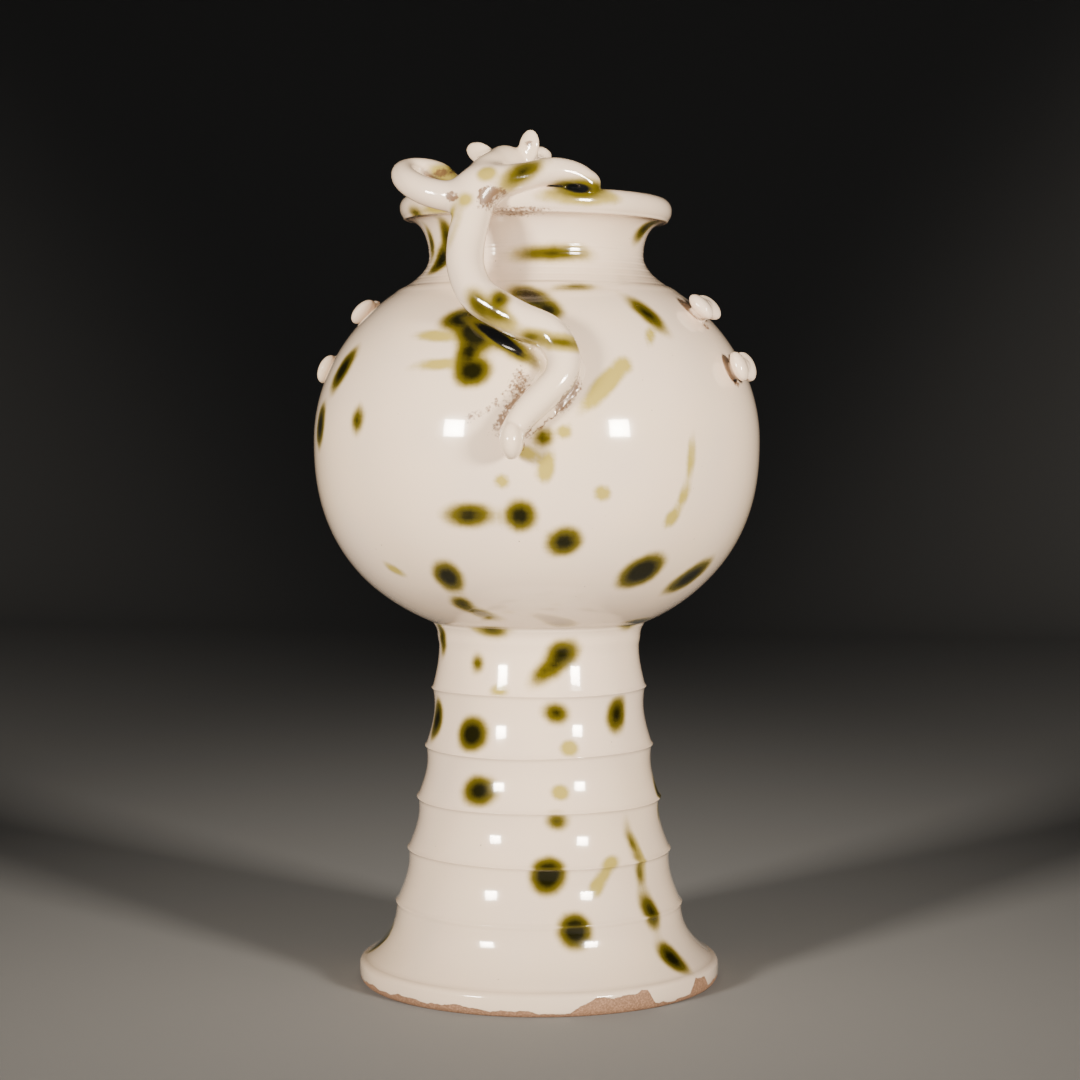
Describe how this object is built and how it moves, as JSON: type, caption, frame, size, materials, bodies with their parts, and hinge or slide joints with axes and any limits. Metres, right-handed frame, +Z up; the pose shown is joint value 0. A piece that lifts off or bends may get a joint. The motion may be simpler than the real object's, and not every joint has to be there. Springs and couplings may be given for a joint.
{
  "type": "dragon-handled jar on a tall ribbed foot",
  "caption": "White-glazed globular jar with green splashes on a tall, ribbed, flaring foot, with a rolled lip, small studs at its shoulders and a dragon handle that looks over the rim.",
  "frame": {"origin": "on the ground, below the middle of the part's whole box; the jar's own axis is 6.9 mm behind it, towards +Y, because the dragon stands out in front", "axes": "+Z up along the jar's axis, -Y towards the side with the dragon, and the studs near +X and -X"},
  "size_m": [0.1847, 0.1958, 0.3432],
  "materials": {
    "splashed_white_glaze": "glossy warm white glaze with soft olive green splashes, brown stain in the joints, and a bare buff edge at the foot"
  },
  "bodies": {
    "root": {"dragon_handled_jar": "splashed_white_glaze"}
  },
  "joints": []
}
